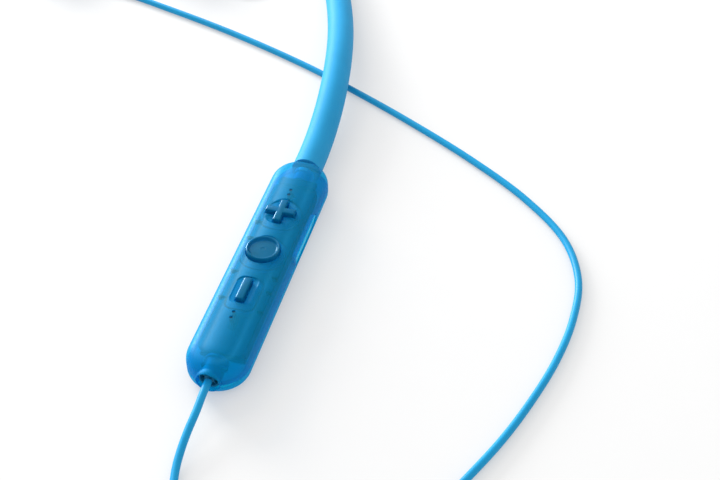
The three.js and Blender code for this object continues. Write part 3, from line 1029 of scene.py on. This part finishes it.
@dataclass
class ControlPod(Pod):
    """The right-hand pod with its three marks, port cover, light, microphone and electronics."""

    marks: tuple[Mark, ...] = (
        Mark(
            "plus", 19.8, grown(cross_outline, 6.6, 1.6, 0.22), grown(slot_outline, 8.4, 8.6, 20),
            grown(slot_outline, 6.8, 7.4, 20),
        ),
        Mark(
            "centre", 32.1, grown(slot_outline, 7.2, 7.2, 24), grown(slot_outline, 9.0, 9.2, 20),
            grown(slot_outline, 7.4, 7.6, 20),
        ),
        Mark(
            "minus", 44.4, grown(box_outline, 1.7, 6.2, 0.35), swollen(5.4, 8.4, 1.6),
            grown(box_outline, 4.2, 6.8, 1.2),
        ),
    )
    light_at: float = 13.3
    microphone_at: float = 51.5
    dot_pitch: float = 1.6
    port_at: float = 22.5
    cover_length: float = 14.3
    cover_bottom: float = 1.75
    cover_top: float = 4.45
    cover_radius: float = 0.9
    clearance: float = 0.16
    mark_top: float = 8.12
    foot_bottom: float = 5.4
    foot_top: float = 6.15
    ring_sides: int = 72
    stem_x: float = -1.9
    dot_bore: float = 0.38
    cover_gap: float = 0.22
    rib_at: tuple[float, ...] = (22.4, 27.6, 38.1, 45.9)
    far_rib_at: tuple[float, ...] = (38.0, 42.3, 47.9)

    def guide_rims(self) -> list[Solid]:
        """The rims under the top shell that guide the buttons' feet.

        Returns:
            A rim for each button.
        """
        rims = []
        inset = self.wall / 3
        edges = (self.lower_edge - inset, self.upper_edge - inset)
        within = self.capsule(inset, inset, self.height - inset, *edges)
        for mark in self.marks:
            rim = Solid.raised(mark.foot, ((5.45, 0.6), (5.55, 0.7), (self.height, 0.7)), mark.at)
            rims.append(rim.keep(within).cut(Solid.raised(mark.foot, ((4, 0.3), (6.48, 0.3)), mark.at)))
        return rims

    def mark_cutters(self) -> list[Solid]:
        """The openings in the top shell for the three marks, with softened rims, and their shallow wells.

        Returns:
            The openings, then the wells.
        """
        top, gap = self.height, self.clearance
        opening = ((4.0, gap), (top - 0.56, gap), (top - 0.42, gap + 0.12), (top + 1, gap + 0.14))
        well = ((top - 0.42, -0.15), (top - 0.36, 0.1), (top - 0.1, 0.45), (top + 0.1, 0.6), (top + 1, 0.7))
        openings = [Solid.raised(mark.face, opening, mark.at) for mark in self.marks]
        return openings + [Solid.raised(mark.well, well, mark.at) for mark in self.marks]

    def dots(self, distance: float, radius: float, low: float, high: float) -> list[Solid]:
        """Two small round posts along the pod's middle."""
        half = self.dot_pitch / 2
        return [post_solid(radius, low, high, (0, -distance + way * half), 0.02, 14) for way in (-1, 1)]

    def side_plate(self, grow: float, levels: Profile) -> Solid:
        """The port cover's side outline raised outward through levels.

        Args:
            grow: how far the outline is grown all round.
            levels: (distance from the pod's middle, further growth) pairs.

        Returns:
            The solid.
        """
        length, tall = self.cover_length + 2 * grow, self.cover_top - self.cover_bottom + 2 * grow
        middle = (-self.port_at, (self.cover_top + self.cover_bottom) / 2)
        outward = Matrix(((0, 0, 1, 0), (1, 0, 0, 0), (0, 1, 0, 0), (0, 0, 0, 1)))
        plan = swollen(length, tall, self.cover_radius + grow, 6)
        return Solid.raised(plan, levels, middle).moved(outward)

    def add_shells(self, shop: Workshop) -> None:
        """Makes the pierced top shell and the bottom shell.

        Args:
            shop: the workshop.
        """
        upper, lower = self.halves()
        window = ((4.3, 0.0), (6.2, 0.0), (6.42, 0.04), (6.56, 0.14), (8.0, 0.2))
        upper.join(*self.guide_rims()).cut(
            *self.mark_cutters(),
            *self.dots(self.light_at, self.dot_bore, 4, self.height + 1),
            *self.dots(self.microphone_at, self.dot_bore, 4, self.height + 1),
            self.side_plate(self.cover_gap, window),
        )
        lower.cut(self.side_plate(self.cover_gap, window))
        self.add_halves(shop, "control", upper, lower)

    def add_buttons(self, shop: Workshop) -> None:
        """Makes the three buttons, each one piece of mark, foot and stem, and dresses the switches.

        Args:
            shop: the workshop.
        """
        top, low, high = self.mark_top, self.foot_bottom, self.foot_top
        rise = ((high - 0.2, 0), (top - 0.3, 0), (top - 0.12, -0.04), (top - 0.03, -0.14), (top, -0.28))
        tread = ((low, -0.15), (low + 0.1, 0), (high - 0.1, 0), (high, -0.12))
        ring = (
            (0, high - 0.2), (3.6, high - 0.2), (3.6, top - 0.3), (3.54, top - 0.1), (3.38, top),
            (3.18, top - 0.02), (3.04, top - 0.15), (2.95, top - 0.4), (2.75, top - 0.55),
            (0.5, top - 0.5), (0.42, top - 0.56), (0, top - 0.56),
        )
        for mark in self.marks:
            round_mark = mark.name == "centre"
            face = Solid.turned(ring, self.ring_sides) if round_mark else Solid.raised(mark.face, rise)
            stem = post_solid(1.0, low - 0.5, high - 0.2, (self.stem_x, -mark.distance))
            foot = Solid.raised(mark.foot, tread, mark.at)
            button = foot.join(face.moved(Matrix.Translation((*mark.at, 0))), stem)
            body = f"{mark.name}_button"
            shop.finish_piece(
                f"{mark.name}_mark", button, self.place, "button", body, "button_plastic", body,
            )
            shop.dress_node(f"{mark.name}_switch_plunger", "dark_plastic")
            shop.dress_node(f"{mark.name}_switch_housing", "steel")

    def add_carrier(self, shop: Workshop) -> None:
        """Makes the dark carrier frame with its walls, ribs, rails, slots and holes for the button stems.

        Args:
            shop: the workshop.
        """
        top, under, past = 4.9, 4.3, 9
        plate = box_solid((-5, -59.5, under), (5, -8, top), 1.4, 0.1)
        bulkhead = box_solid((-4.4, -8.6, 4.7), (4.4, -6.35, 5.6), 0.8, 0.15)
        walls = [box_solid((x, -58, 2.6), (x + 0.7, -9, under + 0.1), 0.2, 0.05) for x in (-5, 4.3)]
        rib_rows = ((-5.1, -3.4, self.rib_at), (3.9, 5.1, self.far_rib_at))
        ribs = [
            box_solid((start, -d - 0.2, top - 0.1), (end, -d + 0.2, top + 1.15), 0.1, 0.04)
            for start, end, row in rib_rows for d in row
        ]
        rails = [
            box_solid((x, -57, top - 0.1), (x + 0.35, -10, top + 0.35), 0.1, 0.05) for x in (-4.95, 4.6)
        ]
        holes = [post_solid(1.5, 0, past, (self.stem_x, -mark.distance)) for mark in self.marks]
        slots = [
            box_solid((-0.75, -at - behind, 0), (0.95, -at + ahead, past), 0.6, 0)
            for at, behind, ahead in ((self.light_at, 3.4, 1.9), (self.microphone_at, 1.9, 3.6))
        ]
        port = box_solid((0, -self.port_at - 4, 0), (past, -self.port_at + 4, under), 0.2, 0)
        carrier = plate.join(bulkhead, *walls, *ribs, *rails).cut(*holes, *slots, port)
        node, slot = "control_carrier_frame", "carrier_plastic"
        shop.finish_piece("carrier", carrier, self.place, "carrier", node, slot)

    def add_port(self, shop: Workshop) -> None:
        """Makes the soft port cover with its plug and nail notch, and dresses the port.

        Args:
            shop: the workshop.
        """
        plate = self.side_plate(0, ((5.35, -0.1), (5.45, 0), (5.95, 0), (6.05, -0.06), (6.1, -0.2)))
        at = -self.port_at
        plug = box_solid((4.5, at - 2.2, 2.4), (6.1, at + 2.2, 3.2), 0.2, 0.1)
        bead = box_solid((5.8, at - 6.8, 4.05), (6.56, at + 6.8, 4.4), 0.15, 0.08)
        notch = Solid.turned(((0, -0.6), (0.8, -0.6), (0.8, 0.6), (0, 0.6)), 24)
        spot = Matrix.Translation((6.35, at + self.cover_length / 2 - 1.6, 3.1))
        cover = plate.join(plug, bead).cut(notch.moved(spot @ Matrix.Rotation(pi / 2, 4, "Y")))
        node = body = "port_cover"
        shop.finish_piece("side_cover", cover, self.place, "port_cover", node, "silicone", body)
        shop.dress_node("charge_port", "steel")

    def add_electronics(self, shop: Workshop) -> None:
        """Makes the two-dot light pipe and dresses the board and what stands on it.

        Args:
            shop: the workshop.
        """
        at = -self.light_at
        bridge = box_solid((-0.45, at - 1.15, 4.6), (0.45, at + 1.15, 5.6), 0.4, 0.08)
        guides = self.dots(self.light_at, 0.32, 5.2, self.height - 0.12)
        pipe = bridge.join(post_solid(0.42, 3.5, 4.9, (0, at)), *guides)
        shop.finish_piece("status_pipe", pipe, self.place, "carrier", "status_light_pipe", "clear_plastic")
        at = -self.microphone_at
        gasket = box_solid((-0.5, at - 1.2, 3.72), (0.5, at + 1.2, 4.0), 0.4, 0.05)
        can = box_solid((-1.8, at - 1.3, 2.6), (1.8, at + 1.3, 3.7), 0.3, 0.15)
        boots = self.dots(self.microphone_at, 0.34, 3.9, self.height - 0.35)
        pickup = can.join(gasket, *boots)
        shop.finish_piece("voice_pickup", pickup, self.place, "dark_plastic", "microphone", "steel")
        shop.dress_node("control_circuit_board", "board")
        shop.dress_node("radio_module", "steel")
        shop.dress_node("status_light", "light_pipe")

    def build(self, shop: Workshop) -> None:
        """Makes the whole pod.

        Args:
            shop: the workshop.
        """
        self.add_shells(shop)
        self.add_buttons(shop)
        self.add_carrier(shop)
        self.add_port(shop)
        self.add_electronics(shop)
        self.add_ends(shop)


@dataclass
class BatteryPod(Pod):
    """The left-hand pod: the same shell without marks, around the cell."""

    def build(self, shop: Workshop) -> None:
        """Makes the whole pod.

        Args:
            shop: the workshop.
        """
        upper, lower = self.halves()
        self.add_halves(shop, "battery", upper, lower)
        tray = box_solid((-4.6, -58, 1.5), (4.6, -8.5, 2), 1.2, 0.1).join(
            *(box_solid((x, -57, 1.8), (x + 0.35, -9.5, 4.6), 0.1, 0.05) for x in (-4.6, 4.25)),
            *(box_solid((-4.3, -d - 0.2, 1.9), (4.3, -d + 0.2, 2.2), 0.1, 0.04) for d in (15.2, 57)),
        )
        shop.finish_piece("cell_tray", tray, self.place, "carrier", "battery_tray", "carrier_plastic")
        pouch = box_solid((-3.95, -54.5, 2.3), (3.95, -17, 5.9), 0.8, 0.45)
        seal = box_solid((-3.8, -56, 3.6), (3.8, -54, 3.9), 0.2, 0.05)
        head = box_solid((-3.6, -17.4, 2.9), (3.6, -16, 5.3), 0.4, 0.15)
        cell = pouch.join(seal, head)
        shop.finish_piece("cell_pouch", cell, self.place, "foil", "battery_cell", "cell_foil")
        shop.dress_node("battery_protection_board", "board")
        self.add_ends(shop)


# ---------------------------------------------------------------- earbuds


@dataclass
class Earbud:
    """One in-ear earbud lying on its side, its driver level and its cable stem sloping to the table."""

    place: Place
    side: str
    axis_height: float = 6.4
    magnet_depth: float = 2.85
    stem_drop: float = radians(15)
    stem_shift: float = -2.0
    boot_ribs: int = 7
    rib_pitch: float = 0.82
    rib_taper: float = 0.06

    def along_ear(self, profile: Profile, sides: int = 64) -> Solid:
        """A profile turned about the driver's axis."""
        turn = Matrix.Translation((0, 0, self.axis_height)) @ Matrix.Rotation(pi / 2, 4, "Y")
        return Solid.turned(profile, sides).moved(turn)

    def along_stem(self, profile: Profile, sides: int = 36) -> Solid:
        """A profile turned about the stem."""
        spot = Matrix.Translation((self.stem_shift, 0, self.axis_height))
        return Solid.turned(profile, sides).moved(spot @ Matrix.Rotation(pi / 2 + self.stem_drop, 4, "X"))

    def rear_housing(self) -> Solid:
        """The back cup with its turned groove and its cable stem.

        Returns:
            The solid.
        """
        outside = soft_profile((
            (0, -5.4), (2.6, -5.38), (4.6, -5.15), (5.8, -4.3), (6.28, -2.8), (6.3, -1.4),
        ))
        cup = self.along_ear((*outside, (6.3, -0.12), (6.2, 0), (0, 0)))
        hollow = self.along_ear(((0, -4.5), (4.3, -4.3), (5.1, -3.5), (5.4, -2.4), (5.4, 1), (0, 1)))
        groove = self.along_ear(((4.1, -6), (4.35, -6), (4.35, -5.05), (4.1, -5.05), (4.1, -6)))
        stem = self.along_stem(((0, 3.8), (2.2, 3.8), (2.05, 6.4), (1.9, 8), (1.9, 8.9), (1.8, 9), (0, 9)))
        passage = self.along_stem(((0, 2), (0.85, 2), (0.85, 10), (0, 10)))
        return cup.join(stem).cut(hollow, groove, passage)

    def front_housing(self) -> Solid:
        """The front cone with its nozzle and the lip that holds the ear tip.

        Returns:
            The solid.
        """
        cone = soft_profile(((6.3, 1.3), (6.0, 2.8), (5.1, 4.1), (3.7, 5.1), (2.75, 5.9), (2.6, 6.8)))
        lip = ((2.6, 9.2), (2.9, 9.45), (3.0, 9.8), (2.9, 10.3), (2.3, 10.8))
        inside = ((1.7, 10.8), (1.6, 10.6), (1.6, 5.8), (3.0, 4.6), (4.8, 3.0), (5.4, 1.4), (5.4, 0.14))
        return self.along_ear(((6.2, 0.14), (6.3, 0.25), *cone, *lip, *inside, (6.2, 0.14)))

    def ear_tip(self) -> Solid:
        """The silicone dome, thin at its skirt, with its inner tube.

        Returns:
            The solid.
        """
        dome = soft_profile(((6.2, 7.1), (6.15, 8.4), (5.8, 10.2), (5.0, 12.0), (3.9, 13.1), (2.8, 13.6)))
        mouth = (
            (2.35, 13.55), (2.2, 13.3), (2.2, 11.3), (3.2, 11.3), (3.2, 6.7), (3.35, 6.6), (3.75, 6.6),
            (3.85, 6.75),
        )
        inside = soft_profile((
            (3.85, 10.3), (4.2, 11.1), (4.8, 10.9), (5.4, 9.6), (5.75, 8.0), (5.85, 7.0),
        ))
        return self.along_ear(((6.05, 6.95), *dome, *mouth, *inside, (6.05, 6.95)))

    def boot(self) -> Solid:
        """The ribbed strain relief between the stem and the cable.

        Returns:
            The solid.
        """
        profile: list[Point2] = [(0, 9.15), (1.7, 9.15), (1.82, 9.3), (1.82, 10.6)]
        for i in range(self.boot_ribs):
            start, radius = 10.8 + self.rib_pitch * i, 1.72 - self.rib_taper * i
            groove = [(radius - 0.3, start), (radius - 0.3, start + 0.24)]
            profile += [*groove, (radius, start + 0.34), (radius - 0.02, start + 0.7)]
        profile += [(1.15, 16.8), (1.08, 17.3), (0.95, 17.5), (0, 17.5)]
        return self.along_stem(profile)

    def build(self, shop: Workshop) -> None:
        """Makes the whole earbud.

        Args:
            shop: the workshop.
        """
        side = self.side
        pieces = (
            ("rear", self.rear_housing(), "tinted_shell", "earbud_rear_housing", "tinted_shell"),
            ("front", self.front_housing(), "tinted_shell", "earbud_front_housing", "tinted_shell"),
            ("boot", self.boot(), "silicone", "cable_boot", "silicone"),
        )
        for name, solid, finish, node, slot in pieces:
            shop.finish_piece(f"{side}_{name}", solid, self.place, finish, f"{side}_{node}", slot)
        tip = f"{side}_ear_tip"
        shop.finish_piece(f"{side}_tip", self.ear_tip(), self.place, "silicone", tip, "silicone", tip)
        for node in ("driver", "magnet", "mesh"):
            shop.dress_node(f"{side}_earbud_{node}", "steel")


# ---------------------------------------------------------------- cables


@dataclass
class Cable:
    """One earbud cable: a round cord lying along a given route."""

    side: str
    route: Sequence[Spot]
    diameter: float = 0.0016
    step: float = 0.0012
    roundness: int = 5

    def build(self, shop: Workshop) -> None:
        """Args:
            shop: the workshop.
        """
        line = flowing([Vector(point) for point in self.route], self.step)
        curve = bpy.data.curves.new(f"{self.side}_cable", "CURVE")
        curve.dimensions = "3D"
        curve.bevel_depth = self.diameter / 2
        curve.bevel_resolution = self.roundness
        curve.use_fill_caps = True
        spline = curve.splines.new("POLY")
        spline.points.add(len(line) - 1)
        for point, place in zip(spline.points, line):
            point.co = (*place, 1)
        spline.use_smooth = True
        cable = bpy.data.objects.new(f"{self.side}_cable", curve)
        bpy.context.collection.objects.link(cable)
        shop.dress(cable, "cable", f"{self.side}_earbud_cable", "cable_skin")


LAID = 0.00085
RIGHT_ROUTE = (
    (0.04397, -0.10294, 0.0039), (0.04325, -0.1057, 0.0038), (0.0423, -0.1096, 0.0033),
    (0.041, -0.1138, 0.0025), (0.04, -0.1178, 0.0017), (0.0394, -0.1219, 0.0011),
    (0.0396, -0.1273, LAID), (0.0418, -0.1336, LAID), (0.0465, -0.1392, LAID), (0.0533, -0.1428, LAID),
    (0.0613, -0.1438, LAID), (0.07, -0.142, LAID), (0.0788, -0.1372, LAID), (0.0863, -0.1306, LAID),
    (0.0923, -0.1238, LAID), (0.0998, -0.1147, LAID), (0.1064, -0.1051, LAID), (0.1123, -0.0949, LAID),
    (0.1169, -0.084, LAID), (0.1195, -0.0724, LAID), (0.118, -0.0601, LAID), (0.1109, -0.0468, LAID),
    (0.0993, -0.0325, LAID), (0.0844, -0.0172, LAID), (0.0732, -0.0067, LAID), (0.0613, 0.0038, LAID),
    (0.0499, 0.0127, LAID), (0.0367, 0.0221, LAID), (0.0214, 0.0319, LAID), (0.0077, 0.04, LAID),
    (0.0042, 0.0413, LAID), (0.0009, 0.0422, LAID), (-0.0026, 0.0435, 0.00115),
    (-0.00589, 0.04544, 0.00192),
)
LEFT_ROUTE = (
    (-0.04397, -0.10294, 0.0039), (-0.04325, -0.1057, 0.0038), (-0.0422, -0.1096, 0.0032),
    (-0.04, -0.1134, 0.0021), (-0.0365, -0.116, 0.0012), (-0.0323, -0.1164, LAID),
    (-0.0289, -0.1139, LAID), (-0.0277, -0.1096, LAID), (-0.0288, -0.103, LAID),
    (-0.0327, -0.0876, LAID), (-0.038, -0.0665, LAID), (-0.043, -0.0455, LAID), (-0.0474, -0.024, LAID),
    (-0.0504, -0.002, LAID), (-0.0515, 0.018, LAID), (-0.05, 0.036, LAID), (-0.0452, 0.0525, LAID),
    (-0.0368, 0.066, LAID), (-0.0245, 0.076, LAID), (-0.0087, 0.0813, LAID), (0.0087, 0.0813, LAID),
    (0.0245, 0.076, LAID), (0.0368, 0.066, LAID), (0.0453, 0.0545, LAID), (0.0472, 0.0464, LAID),
    (0.0441, 0.0412, LAID), (0.0398, 0.0404, LAID), (0.0362, 0.0417, LAID), (0.0331, 0.0436, 0.00115),
    (0.03011, 0.04544, 0.00192),
)


# ---------------------------------------------------------------- studio


@dataclass
class Studio:
    """The plain pale table, the soft lights and the camera."""

    camera_spot: Spot = (0.07316, -0.25692, 0.18619)
    camera_pitch: float = radians(90 - 43.28)
    lens: float = 61.57
    table_size: float = 6.0
    sky: float = 0.92
    key_energy: float = 4.6
    key_size: float = 0.55
    strip_energy: float = 10.0
    strip_size: float = 0.3
    middle: Spot = (0.05, -0.06, 0.0)
    key_reach: Spot = (-0.40, 0.72, 0.46)
    strip_reach: Spot = (-0.44, 0.60, 0.17)

    def add_light(self, name: str, reach: Spot, size: float, energy: float) -> None:
        """Adds a square soft light that faces the set.

        Args:
            name: its name.
            reach: where it hangs from the set's middle.
            size: its side in metres.
            energy: its power in watts.
        """
        data = bpy.data.lights.new(name, "AREA")
        data.size, data.energy = size, energy
        light = bpy.data.objects.new(name, data)
        light.location = Vector(self.middle) + Vector(reach)
        light.rotation_euler = (-Vector(reach)).to_track_quat("-Z", "Y").to_euler()
        bpy.context.collection.objects.link(light)

    def build(self, finishes: Finishes) -> None:
        """Sets up the camera, the table, the lights and the sky.

        Args:
            finishes: the set's finishes.
        """
        scene = bpy.context.scene
        camera = bpy.data.objects.new("camera", bpy.data.cameras.new("camera"))
        camera.location = self.camera_spot
        camera.rotation_euler = (self.camera_pitch, 0, 0)
        camera.data.lens = self.lens
        camera.data.sensor_width = 36.0
        camera.data.clip_start = 0.01
        scene.collection.objects.link(camera)
        scene.camera = camera
        half = self.table_size / 2
        corners = [(x * half, y * half, 0) for x, y in ((-1, -1), (1, -1), (1, 1), (-1, 1))]
        mesh = bpy.data.meshes.new("table")
        mesh.from_pydata(corners, [], [(0, 1, 2, 3)])
        table = bpy.data.objects.new("table", mesh)
        mesh.materials.append(finishes.get("table"))
        scene.collection.objects.link(table)
        self.add_light("key", self.key_reach, self.key_size, self.key_energy)
        self.add_light("strip", self.strip_reach, self.strip_size, self.strip_energy)
        world = bpy.data.worlds.new("sky")
        world.use_nodes = True
        background = world.node_tree.nodes["Background"]
        background.inputs["Color"].default_value = (1, 1, 1, 1)
        background.inputs["Strength"].default_value = self.sky
        scene.world = world
        scene.view_settings.view_transform = "Standard"


# ---------------------------------------------------------------- the whole set


def pod_place(shell: str, side: int) -> Place:
    """Where a pod's neckband end stands, from its shell's box.

    Args:
        shell: the pod's bottom shell node.
        side: 1 for the right-hand pod, -1 for the left-hand one.

    Returns:
        The place.
    """
    low, high = (Vector(corner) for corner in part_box(shell))
    lean, length, width = Band.lean, Pod.length * MM, Pod.width * MM
    x = (low.x + high.x) / 2 + side * length / 2 * sin(lean)
    y = low.y + (length - width / 2) * cos(lean) + width / 2
    return Place(x, y, -side * lean)


def earbud_place(shop: Workshop, side: str) -> Place:
    """Where an earbud lies, from the middles of its magnet and its mesh.

    Args:
        shop: the workshop.
        side: right or left.

    Returns:
        The place.
    """
    magnet = shop.middle(f"{side}_earbud_magnet")
    along = (shop.middle(f"{side}_earbud_mesh") - magnet).normalized()
    origin = magnet + along * Earbud.magnet_depth * MM
    return Place(origin.x, origin.y, atan2(along.y, along.x))


def main() -> None:
    """Builds the set around the frame, camera and cables first."""
    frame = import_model()
    finishes = Finishes()
    shop = Workshop(frame, finishes)
    Studio().build(finishes)
    for side, route in (("right", RIGHT_ROUTE), ("left", LEFT_ROUTE)):
        Cable(side, route).build(shop)
    right = pod_place("control_pod_bottom_shell", 1)
    left = pod_place("battery_pod_bottom_shell", -1)
    Band(right.x / MM, right.y / MM).build(shop)
    ControlPod(right, "right").build(shop)
    BatteryPod(left, "left").build(shop)
    for side in ("right", "left"):
        Earbud(earbud_place(shop, side), side).build(shop)
    bpy.context.view_layer.update()


if __name__ == "__main__":
    logging.basicConfig(level=logging.INFO, format="%(name)s: %(message)s")
    main()
